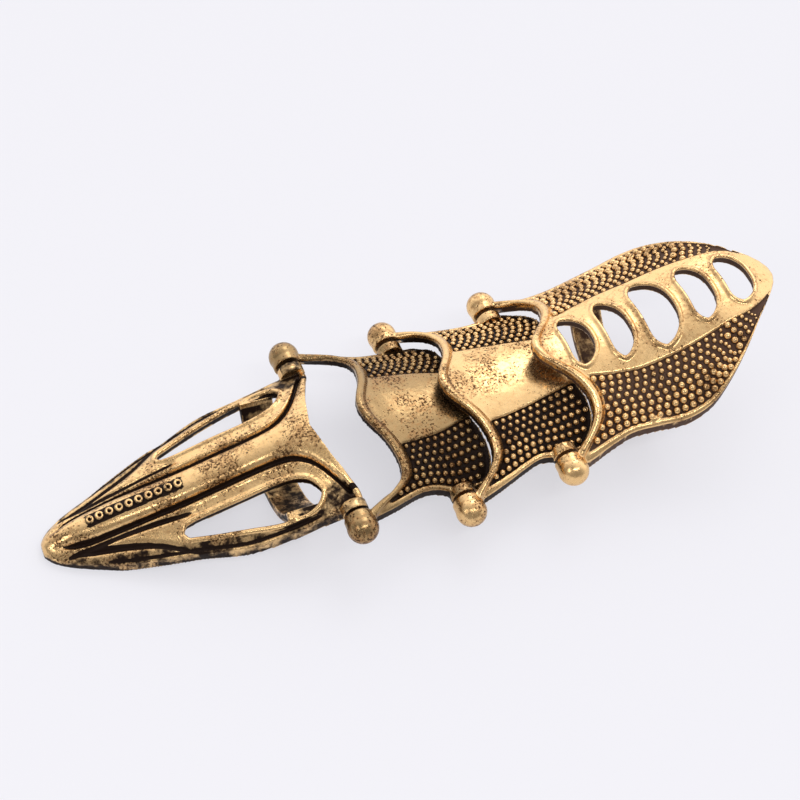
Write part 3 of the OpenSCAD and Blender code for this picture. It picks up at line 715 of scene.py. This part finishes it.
# tone_and_shade scales the gold's brightness: small tone differences between castings, and a painted shade
# on the front plate
def antique_gold(name, pits, patina_colour=DARK_PATINA, tone_and_shade=1.0):
    made = bpy.data.materials.new(name)
    made.use_nodes = True
    tree = made.node_tree
    shader = tree.nodes["Principled BSDF"]
    where = tree.nodes.new("ShaderNodeTexCoord").outputs["Object"]
    patina = node(tree, "ShaderNodeAttribute", attribute_name="patina").outputs["Fac"]
    # Ambient occlusion, used as painted shade in creases and recesses and to thicken the patina there
    crease_shade_and_patina = node(tree, "ShaderNodeAmbientOcclusion", samples=8, Distance=0.9 * MM)
    crease_shade_and_patina = ramp(tree, crease_shade_and_patina.outputs["AO"], 0.25, 0.8, to_low=1, to_high=0)
    blotch = noise(tree, where, scale=760, detail=6, rough=0.62)
    patch = noise(tree, where, scale=260)
    speck = noise(tree, where, scale=4200, rough=0.65)
    grain = noise(tree, where, scale=2600, detail=4)

    # Patina with ragged edges, thicker where the surface is shut in, small pits that thicken in patches,
    # and soiled patches
    ragged = sum_of(tree, patina, sum_of(tree, blotch, 0.5, "SUBTRACT"))
    ragged = sum_of(tree, ragged, part_of(tree, crease_shade_and_patina, 0.5))
    dark = ramp(tree, ragged, 0.32, 0.62)
    fewest_pits = 0.68
    pit_limit = ramp(tree, patch, 0.35, 0.65, to_low=fewest_pits, to_high=fewest_pits - 0.2 * pits)
    pitted = ramp(tree, sum_of(tree, speck, pit_limit, "SUBTRACT"), -0.01, 0.03)
    soiled = ramp(tree, sum_of(tree, grain, patch), 0.95, 1.2)

    # The gold's own shades under them, with painted shade: redder and darker where creases and recesses
    # shut the surface in from the light
    light = tuple(tone_and_shade * c for c in LIGHT_GOLD)
    deep = tuple(tone_and_shade * c for c in DEEP_GOLD)
    gold = blend_of(tree, blotch, light, deep)
    gold = blend_of(tree, part_of(tree, crease_shade_and_patina, 0.55), gold, PAINTED_SHADE_GOLD)
    gold = blend_of(tree, part_of(tree, soiled, 0.6), gold, SOILED_GOLD)
    gold = blend_of(tree, part_of(tree, pitted, 0.9), gold, PIT_BROWN)
    tree.links.new(blend_of(tree, dark, gold, patina_colour), shader.inputs["Base Color"])

    # Rubbed gold shines, patina and pits are dull
    tree.links.new(ramp(tree, dark, 0, 1, to_low=1.0, to_high=0.2), shader.inputs["Metallic"])
    tree.links.new(ramp(tree, dark, 0, 1, to_low=0.5, to_high=0.12), shader.inputs["Specular IOR Level"])
    worn = sum_of(tree, ramp(tree, grain, 0.3, 0.7, to_low=0.2, to_high=0.34), part_of(tree, pitted, 0.2))
    tree.links.new(sum_of(tree, worn, part_of(tree, dark, 0.2)), shader.inputs["Roughness"])

    # The cast skin's unevenness, with the pits sunk in
    ripple = noise(tree, where, scale=700, detail=2)
    height = sum_of(tree, part_of(tree, ripple, 6.0), part_of(tree, grain, 1.0))
    height = sum_of(tree, height, part_of(tree, pitted, -0.9))
    bump = node(tree, "ShaderNodeBump", Strength=0.5, Distance=0.02 * MM)
    tree.links.new(height, bump.inputs["Height"])
    tree.links.new(bump.outputs["Normal"], shader.inputs["Normal"])
    return made


def finish_piece(piece, material, body, node):
    """Brings a piece to metres, gives it its metal and hangs it on its body in the frame."""
    piece.data.transform(Matrix.Scale(MM, 4))
    piece.data.materials.clear()
    piece.data.materials.append(material)
    piece.data.shade_smooth()
    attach(piece, body)
    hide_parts(node)


def finish_plate(piece, plate, material, body, node):
    """Puts the patina on a cast plate with its beads and finishes it."""
    points, hollow = hollowness(piece.data)
    local = points - [plate.hinge[0], 0, 0]
    depth = (plate.z(local[:, 0], local[:, 1]) - points[:, 2]) / plate.steep(local[:, 0], local[:, 1])
    depth = np.where(near_balls(plate, points), 0, depth)
    write_patina(piece.data, patina_of(depth, hollow))
    finish_piece(piece, material, body, node)


hand_gold = antique_gold("antique_gold_hand", pits=0.6, patina_colour=BROWN_PATINA)
lay_in(hand_plate, [bead_rows(hand, rows=8, pitch=0.94, fill=0.9, reach=HAND_BEAD_END)])
finish_plate(hand_plate, hand, hand_gold, "hand", "hand_plate")

# Rear knuckle plate
# An arched casting of the same metal between the middle hinge and the hand hinge, with a smooth panel
# and beaded sides. Its rear edge lies under the hand plate's rim, and its two inner lugs turn on the
# hand plate's pins.
REAR_SECTIONS = [
    (0.00, 1.000, 1.000, 0.450, 0.40),
    (0.17, 0.980, 0.955, 0.505, 0.42),
    (0.33, 0.936, 0.895, 0.528, 0.45),
    (0.50, 0.916, 0.832, 0.576, 0.46),
    (0.61, 0.911, 0.806, 0.604, 0.45),
    (0.80, 0.916, 0.840, 0.575, 0.38),
    (1.00, 0.920, 0.840, 0.570, 0.32),
]
TAIL = 3.2
KNUCKLE_BEAD_END = 0.97
LUG = 1.1


def lugs(plate):
    """The two lugs of the piece in front, which turn between a plate's ears."""
    x, z, out = plate.hinge[0], plate.hinge[2], plate.lug_y
    return [
        bar_across(x, z, -out, LUG - out, LUG_DIAMETER),
        bar_across(x, z, out - LUG, out, LUG_DIAMETER),
    ]


def knuckle_casting(name, plate):
    piece = plate_shell(name, plate, KNUCKLE_BEAD_END)
    cut_all(piece, [ball_pocket(plate)])
    lay_in(piece, ears_and_balls(plate) + arm_ridges(plate) + lugs(plate.behind))
    as_cast(piece)
    lay_in(piece, [bead_rows(plate, rows=7, pitch=0.86, fill=0.8, reach=KNUCKLE_BEAD_END)])
    return piece


rear = Plate(
    "middle_hinge",
    "middle_pin_right",
    length=11.8 + TAIL,
    height=10.1,
    half=None,
    sections=REAR_SECTIONS,
    shoulder=0.273,
    peak=0.08,
    behind=hand,
)
rear_plate = knuckle_casting("rear_knuckle_casting", rear)
rear_gold = antique_gold("antique_gold_rear", pits=0.75, tone_and_shade=0.94)
finish_plate(rear_plate, rear, rear_gold, "rear_plate", "rear_knuckle_plate")

# Front knuckle plate
# The same kind of casting again, a little narrower, between the claw hinge and the middle hinge. Its
# lugs turn on the rear plate's pins. Its gold is painted darker, as painted shade for the lamp reflection
# it lacks.
FRONT_SECTIONS = [
    (0.00, 1.000, 1.000, 0.640, 0.42),
    (0.26, 0.968, 0.930, 0.632, 0.44),
    (0.48, 0.897, 0.842, 0.597, 0.47),
    (0.61, 0.871, 0.835, 0.557, 0.46),
    (0.80, 0.838, 0.885, 0.440, 0.39),
    (1.00, 0.805, 0.885, 0.410, 0.30),
]
front = Plate(
    "claw_hinge",
    "claw_pin_right",
    length=11.9 + TAIL,
    height=10.2,
    half=None,
    sections=FRONT_SECTIONS,
    shoulder=0.391,
    peak=0.252,
    behind=rear,
)
front_plate = knuckle_casting("front_knuckle_casting", front)
# Painted shade: this plate's gold is darkened to less than half, standing in for the lamp reflection it
# misses
front_shaded_gold = antique_gold("antique_gold_front_shaded", pits=0.85, tone_and_shade=0.44)
finish_plate(front_plate, front, front_shaded_gold, "front_plate", "front_knuckle_plate")

# Fingertip claw
# A pointed half cone with a domed tip, a raised spine between deep grooves and two long windows, cast
# in one with its fingertip band. Its lugs turn on the front plate's pins. x counts from that hinge,
# so it is under 0 on most of the claw.
CLAW_LENGTH = 30.0
CLAW_HALF = 9.2
CLAW_HEIGHT = 9.3
CLAW_X = front.hinge[0]
# Columns: share of the length from the tip, the crest's height, the half width, the edge's height and
# the spine's half width, as shares
CLAW_SECTIONS = [
    (0.000, 0.115, 0.070, 0.080, 0.12),
    (0.012, 0.165, 0.130, 0.085, 0.24),
    (0.035, 0.205, 0.205, 0.090, 0.40),
    (0.070, 0.235, 0.280, 0.095, 0.60),
    (0.120, 0.270, 0.360, 0.098, 0.80),
    (0.170, 0.310, 0.430, 0.110, 0.92),
    (0.270, 0.390, 0.560, 0.172, 1.00),
    (0.400, 0.475, 0.700, 0.265, 1.00),
    (0.490, 0.540, 0.780, 0.320, 1.00),
    (0.640, 0.680, 0.930, 0.390, 1.00),
    (0.780, 0.810, 0.965, 0.480, 1.03),
    (0.850, 0.880, 0.970, 0.540, 1.20),
    (0.900, 0.925, 0.975, 0.590, 1.70),
    (0.940, 0.955, 0.980, 0.620, 2.50),
    (1.000, 1.000, 0.985, 0.655, 4.20),
]
# The sides run out into the two arms with the lugs: where that begins and over what share of the length
ARM_FROM = 0.78
ARM_SHARE = 0.22


def claw_share(x):
    return 1 + x / CLAW_LENGTH


def claw_crest(x):
    return CLAW_HEIGHT * along(CLAW_SECTIONS, 1, claw_share(x))


def claw_half(x):
    arm = np.clip((claw_share(x) - ARM_FROM) / ARM_SHARE, 0, 1)
    wide = CLAW_HALF * (1 - arm) + (front.lug_y - LUG / 2) * arm
    return wide * along(CLAW_SECTIONS, 2, claw_share(x))


def claw_sag(x):
    edge = CLAW_HEIGHT * along(CLAW_SECTIONS, 3, claw_share(x))
    return (claw_crest(x) - edge) / claw_half(x) ** 2


def claw_z(x, y):
    return claw_crest(x) - claw_sag(x) * y**2


SPINE_HALF = 1.7
SPINE_HEIGHT = 0.7
GROOVE_DEPTH = 0.5
GROOVE_HALF = 0.3
GROOVE_SHARE = 0.09
SHOULDER_HEIGHT = 0.16
RIDGE_HEIGHT = 0.14
RIDGE_HALF = 0.17
# Where the relief rises behind the tip, in shares of the length, and where the ridge begins, in x
TIP_FADE = (0.02, 0.12)
RIDGE_START = (-28, -25)
# The two shorter grooves on each side of the spine: x, distance from the middle, share of the full depth
FRONT_GROOVE = [(-29, 1.9, 0.0), (-27.5, 2.25, 1.0), (-20.6, 2.65, 1.0), (-16, 3.1, 0.8), (-14.5, 3.3, 0.0)]
FRONT_GROOVE_HALF = 0.26
SIDE_GROOVE = [
    (-27.5, 2.2, 0.0),
    (-26, 2.5, 1.0),
    (-22, 3.7, 1.0),
    (-19, 4.9, 0.8),
    (-15.3, 7.1, 0.5),
    (-12, 8.2, 0.0),
]
SIDE_GROOVE_HALF = 0.34
# A shallow groove follows the lower edge at a share of the half width
LOW_GROOVE = 0.945
LOW_GROOVE_HALF = 0.22
LOW_GROOVE_DEPTH = 0.7
LOW_GROOVE_START = (-26, -23)
LOW_GROOVE_END = (-4, -2)


def across_line(offset, half):
    """How much of a rounded groove or ridge is felt at an offset from its middle."""
    return np.exp(-((offset / half) ** 2))


def claw_relief(x, y):
    """How far the claw's surface stands over its smooth form, and how deep it lies in a groove."""
    a = np.abs(y)
    half = claw_half(x)
    groove = np.minimum(GROOVE_HALF, GROOVE_SHARE * half)
    spine = np.minimum(SPINE_HALF * along(CLAW_SECTIONS, 4, claw_share(x)), half - 5 * groove)
    fade = step(*TIP_FADE, claw_share(x))
    dome = SPINE_HEIGHT * np.sqrt(np.clip(1 - (a / spine) ** 2, 0, 1))
    shoulder = SHOULDER_HEIGHT * step(spine + groove, spine + 3 * groove, a)
    shoulder += RIDGE_HEIGHT * across_line(a - spine - 3 * groove, RIDGE_HALF) * step(*RIDGE_START, x)
    main = across_line(a - spine - groove * 0.7, groove)
    first = along(FRONT_GROOVE, 2, x) * across_line(a - along(FRONT_GROOVE, 1, x), FRONT_GROOVE_HALF)
    second = along(SIDE_GROOVE, 2, x) * across_line(a - along(SIDE_GROOVE, 1, x), SIDE_GROOVE_HALF)
    low = across_line((a / half - LOW_GROOVE) * half, LOW_GROOVE_HALF)
    low = step(*LOW_GROOVE_START, x) * (1 - step(*LOW_GROOVE_END, x)) * low
    grooves = np.maximum(np.maximum(main, first), np.maximum(second, LOW_GROOVE_DEPTH * low))
    return fade * (dome + shoulder - GROOVE_DEPTH * grooves), grooves * fade


# The rear edge: share of the half width, distance behind the hinge as a share of the length
CLAW_REAR = [(0, -0.05), (0.4, -0.02), (0.7, 0.017), (0.85, 0.037), (1, 0.04)]
CLAW_LINES = 141
CLAW_COLUMNS = 200
TIP_CROWDING = 1.15
# The wall is up to five times as thick within this share of the length from the tip
THICK_TIP = 0.133
THICKER = 4

lines = np.sin(np.linspace(-1, 1, CLAW_LINES) * math.pi / 2)[:, None]
columns = np.linspace(0, 1, CLAW_COLUMNS)[None] ** TIP_CROWDING
x = np.zeros((CLAW_LINES, CLAW_COLUMNS))
for _ in range(SETTLING_ROUNDS):
    y = lines * claw_half(x)
    rear_edge = CLAW_LENGTH * along(CLAW_REAR, 1, np.abs(y) / CLAW_HALF)
    x = -CLAW_LENGTH + (CLAW_LENGTH + rear_edge) * columns
tip = np.clip(1 - claw_share(x) / THICK_TIP, 0, 1)
thick = WALL * np.sqrt(1 + (2 * claw_sag(x) * y) ** 2) * (1 + THICKER * tip)
outer = np.stack([x, y, claw_z(x, y) + claw_relief(x, y)[0]], -1) + [CLAW_X, 0, 0]
inner = np.stack([x, y, np.maximum(claw_z(x, y) - thick, 0)], -1) + [CLAW_X, 0, 0]
claw = wall_between("fingertip_claw_casting", outer, inner)

# Outline of a window: share of its length from the round rear end, inner and outer side as shares of
# the claw's half width
WINDOW = [
    (0.00, 0.710, 0.710),
    (0.03, 0.620, 0.795),
    (0.08, 0.530, 0.850),
    (0.18, 0.460, 0.875),
    (0.35, 0.430, 0.860),
    (0.55, 0.430, 0.790),
    (0.75, 0.425, 0.710),
    (0.90, 0.425, 0.640),
    (0.97, 0.450, 0.600),
    (1.00, 0.525, 0.525),
]
WINDOW_BACK = 2.2
WINDOW_LENGTH = 14.6
WINDOW_LIP = 0.31
WINDOW_LIP_RISE = 0.05
EDGE_LIP = 0.36
EDGE_LIP_INSET = 0.32
EDGE_LIP_RISE = 0.1
EDGE_LIP_POINTS = 61

share = np.concatenate([[0, 0.008, 0.02, 0.04], np.linspace(0.07, 0.95, 24), [0.97, 0.99, 1]])
claw_lips = []
claw_windows = []
for side in (-1, 1):
    inside = np.c_[-WINDOW_BACK - WINDOW_LENGTH * share, side * CLAW_HALF * along(WINDOW, 1, share)]
    outside = np.c_[-WINDOW_BACK - WINDOW_LENGTH * share, side * CLAW_HALF * along(WINDOW, 2, share)]
    outline = np.concatenate([inside, outside[-2:0:-1]])
    claw_windows.append(cutter_over(outline + [CLAW_X, 0]))
    lip_z = claw_z(outline[:, 0], outline[:, 1]) + WINDOW_LIP_RISE
    claw_lips.append(wire(np.c_[outline[:, 0] + CLAW_X, outline[:, 1], lip_z], WINDOW_LIP, closed=True))
edge_y = np.linspace(-1, 1, EDGE_LIP_POINTS) * claw_half(np.array([0.0]))[0]
edge_x = CLAW_LENGTH * along(CLAW_REAR, 1, np.abs(edge_y) / CLAW_HALF) - EDGE_LIP_INSET
edge = np.c_[edge_x + CLAW_X, edge_y, claw_z(edge_x, edge_y) + EDGE_LIP_RISE]
claw_lips.append(wire(edge, EDGE_LIP))
cut_all(claw, claw_windows)

# The band meets the claw's side walls at a share of the half width, which gives its radius and arc
CLAW_BAND_FROM = 2.9
CLAW_BAND_WIDTH = 3.6
CLAW_BAND_LIFT = 0.4
CLAW_BAND_REACH = 0.825
band_low = CLAW_BAND_LIFT + BAND / 2
band_y = CLAW_BAND_REACH * CLAW_HALF
band_drop = float(claw_z(np.array([-CLAW_BAND_FROM - CLAW_BAND_WIDTH / 2]), band_y)[0]) - band_low
band_r = (band_y**2 + band_drop**2) / (2 * band_drop)
claw_band = band_part(
    CLAW_X - CLAW_BAND_FROM - CLAW_BAND_WIDTH,
    width=CLAW_BAND_WIDTH,
    inner_diameter=2 * band_r - BAND,
    lift=CLAW_BAND_LIFT,
    half_angle=math.degrees(math.atan2(band_y, band_r - band_drop)),
)
lay_in(claw, [*lugs(front), claw_band, *claw_lips])
as_cast(claw, grain=0.1, rounds=2)

# The row of tiny rings with bars between them on the front half of the spine
RINGLETS = 10
RINGLET_FROM = 0.17
RINGLET_SPREAD = 0.31
RINGLET_RISE = 0.05
RINGLET_HALF_LENGTH = 0.31
RINGLET_HALF_WIDTH = 0.36
RINGLET_WIRE = 0.17
RINGLET_POINTS = 20
BAR_AHEAD = 0.52
BAR_HALF = 0.34
BAR_DROP = 0.03
BAR_WIRE = 0.11
BAR_POINTS = 5
turn = np.arange(RINGLET_POINTS) * 2 * math.pi / RINGLET_POINTS
for i in range(RINGLETS):
    at = -CLAW_LENGTH + CLAW_LENGTH * (RINGLET_FROM + RINGLET_SPREAD * i / (RINGLETS - 1))
    top = float(claw_crest(np.array([at]))[0]) + SPINE_HEIGHT + RINGLET_RISE
    ring_x = CLAW_X + at + RINGLET_HALF_LENGTH * np.cos(turn)
    ring = np.c_[ring_x, RINGLET_HALF_WIDTH * np.sin(turn), np.full(RINGLET_POINTS, top)]
    lay_in(claw, [wire(ring, RINGLET_WIRE, closed=True)])
    if i % 2 == 0:
        bar_x, bar_z = CLAW_X + at + BAR_AHEAD, top - BAR_DROP
        bar = np.linspace([bar_x, -BAR_HALF, bar_z], [bar_x, BAR_HALF, bar_z], BAR_POINTS)
        lay_in(claw, [wire(bar, BAR_WIRE)])

# Patina on the claw: in the grooves, on the lower parts of the side walls, round the ringlets, on the
# rear corners and on the lugs
CLAW_RUBBED = 0.15
SKIN = -0.1
GROOVE_FILLED = (0.25, 0.6)
GROOVE_WALL = 0.6
SIDE_PATINA = 0.47
SIDE_SOILED = (0.72, 0.88)
RINGLET_PATINA = 0.72
RINGLET_SKIN = -0.12
RINGLETS_MIDDLE = 0.675
RINGLETS_REACH = 0.17
RINGLETS_HALF = 0.75
CORNER_PATINA = 0.56
CORNER_BACK = (-5, -2)
CORNER_OUT = (5, 7.2)
LUG_PATINA = 0.5
LUG_ROOM = 1.2
points, hollow = hollowness(claw.data)
local = points - [CLAW_X, 0, 0]
local_x, from_middle = local[:, 0], np.abs(local[:, 1])
relief, groove = claw_relief(local_x, local[:, 1])
depth = claw_z(local_x, local[:, 1]) + relief - points[:, 2]
filled = step(*GROOVE_FILLED, groove) * (depth < GROOVE_WALL)
patina = np.maximum(patina_of(depth - CLAW_RUBBED, hollow), filled)
soiled = SIDE_PATINA * step(*SIDE_SOILED, from_middle / claw_half(local_x)) * (depth > SKIN)
by_rings = np.abs(local_x + RINGLETS_MIDDLE * CLAW_LENGTH) < RINGLETS_REACH * CLAW_LENGTH
by_rings = by_rings & (from_middle < RINGLETS_HALF) & (depth > RINGLET_SKIN)
soiled = np.where(by_rings, RINGLET_PATINA, soiled)
corner = CORNER_PATINA * step(*CORNER_BACK, local_x) * step(*CORNER_OUT, from_middle) * (depth > SKIN)
patina = np.maximum(patina, np.maximum(soiled, corner))
in_lug = (np.abs(points[:, 1]) > front.lug_y - LUG) & (local_x > -LUG_ROOM)
write_patina(claw.data, np.where(in_lug, LUG_PATINA, patina))
finish_piece(claw, antique_gold("antique_gold_claw", pits=0.85, tone_and_shade=0.97), "claw", "fingertip_claw")

# Hinge pins
# Six short plain pins are pressed into the balls and carry the lugs behind them. Their solids stay as
# they are, and only show as dark metal in the gaps.
PIN_BROWN = (0.09, 0.05, 0.02)
PIN_BRIGHT = (0.3, 0.18, 0.07)
pin_metal = bpy.data.materials.new("darkened_pin")
pin_metal.use_nodes = True
tree = pin_metal.node_tree
shader = tree.nodes["Principled BSDF"]
shader.inputs["Metallic"].default_value = 1.0
tarnish = noise(tree, tree.nodes.new("ShaderNodeTexCoord").outputs["Object"], scale=1800, detail=4)
tree.links.new(blend_of(tree, tarnish, PIN_BROWN, PIN_BRIGHT), shader.inputs["Base Color"])
tree.links.new(ramp(tree, tarnish, 0.3, 0.7, to_low=0.35, to_high=0.55), shader.inputs["Roughness"])
for hinge in ("claw", "middle", "hand"):
    for side in ("left", "right"):
        pin = frame["nodes"][f"{hinge}_pin_{side}"]
        pin.data.materials.clear()
        pin.data.materials.append(pin_metal)

# Table, light and camera
# A pale lavender white sheet of paper under soft lamps and a bright wall to the right and behind. It
# shines a little of its own, so that shadows on it stay as light as in the photograph.
TABLE_HALF = 1.5
corners = TABLE_HALF * np.array([[-1, -1, 0], [1, -1, 0], [1, 1, 0], [-1, 1, 0]])
floor = piece_of("table_top", corners, [(0, 1, 2, 3)])
paper = bpy.data.materials.new("pale_paper")
paper.use_nodes = True
sheet = paper.node_tree.nodes["Principled BSDF"]
sheet.inputs["Base Color"].default_value = (0.28, 0.278, 0.285, 1)
sheet.inputs["Roughness"].default_value = 0.9
sheet.inputs["Specular IOR Level"].default_value = 0.1
sheet.inputs["Emission Color"].default_value = (0.955, 0.947, 1.0, 1)
sheet.inputs["Emission Strength"].default_value = 0.605
floor.data.materials.append(paper)

BRIGHT_WALL = (0.45, 0.65, 0.0)
world = bpy.data.worlds.new("studio")
bpy.context.scene.world = world
world.use_nodes = True
tree = world.node_tree
sky = tree.nodes["Background"]
sky.inputs["Color"].default_value = (0.965, 0.96, 1.0, 1)
to_wall = tree.nodes.new("ShaderNodeVectorMath")
to_wall.operation = "DOT_PRODUCT"
to_wall.inputs[1].default_value = BRIGHT_WALL
tree.links.new(tree.nodes.new("ShaderNodeTexCoord").outputs["Generated"], to_wall.inputs[0])
wall_light = ramp(tree, to_wall.outputs["Value"], -0.35, 0.5, to_low=0.36, to_high=1.5)
tree.links.new(wall_light, sky.inputs["Strength"])


def stand(thing, right, up, back, place):
    """Stands a lamp or the camera at a place, with its back turned to a direction."""
    turned = np.stack([right, up, back], 1).tolist()
    thing.matrix_world = Matrix([[*row, p] for row, p in zip(turned, place.tolist())] + [[0, 0, 0, 1]])
    bpy.context.scene.collection.objects.link(thing)


def soft_lamp(name, place, target, size, power):
    lamp = bpy.data.lights.new(name, "AREA")
    lamp.shape = "RECTANGLE"
    lamp.size, lamp.size_y = size
    lamp.energy = power
    place, target = np.array(place), np.array(target)
    back = (place - target) / np.linalg.norm(place - target)
    right = np.cross([0, 1, 0.001], back)
    right /= np.linalg.norm(right)
    stand(bpy.data.objects.new(name, lamp), right, np.cross(back, right), back, place)


soft_lamp("lamp_over", place=(0.19, 0.29, 0.42), target=(0, 0, 0), size=(0.22, 0.22), power=0.34)
soft_lamp("strip_lamp", place=(0.0, -0.2, 0.4), target=(-0.02, 0, 0.01), size=(0.35, 0.05), power=0.42)
soft_lamp("lamp_left", place=(-0.4, -0.1, 0.3), target=(0, 0, 0), size=(0.16, 0.2), power=0.3)

# The photograph's view, solved from the ring's outlines. The focal length is in pixels of the photo.
AZIMUTH, ELEVATION, ROLL = -28.74, 52.03, 7.91
TARGET = np.array([1.03, 6.47, 0.0]) * MM
DISTANCE = 178.98 * MM
SENSOR_WIDTH = 36
PHOTO_WIDTH = 800
FOCAL_LENGTH = 1605
az, el, roll = (math.radians(v) for v in (AZIMUTH, ELEVATION, ROLL))
level = np.array([math.cos(az), math.sin(az), 0])
back = np.array([math.sin(az) * math.cos(el), -math.cos(az) * math.cos(el), math.sin(el)])
upright = np.cross(back, level)
right = math.cos(roll) * level + math.sin(roll) * upright
up = -math.sin(roll) * level + math.cos(roll) * upright
lens = bpy.data.cameras.new("camera")
lens.sensor_width = SENSOR_WIDTH
lens.lens = FOCAL_LENGTH / PHOTO_WIDTH * SENSOR_WIDTH
lens.clip_start = 0.005
camera = bpy.data.objects.new("camera", lens)
stand(camera, right, up, back, TARGET + DISTANCE * back)
bpy.context.scene.camera = camera
bpy.context.scene.view_settings.view_transform = "Standard"
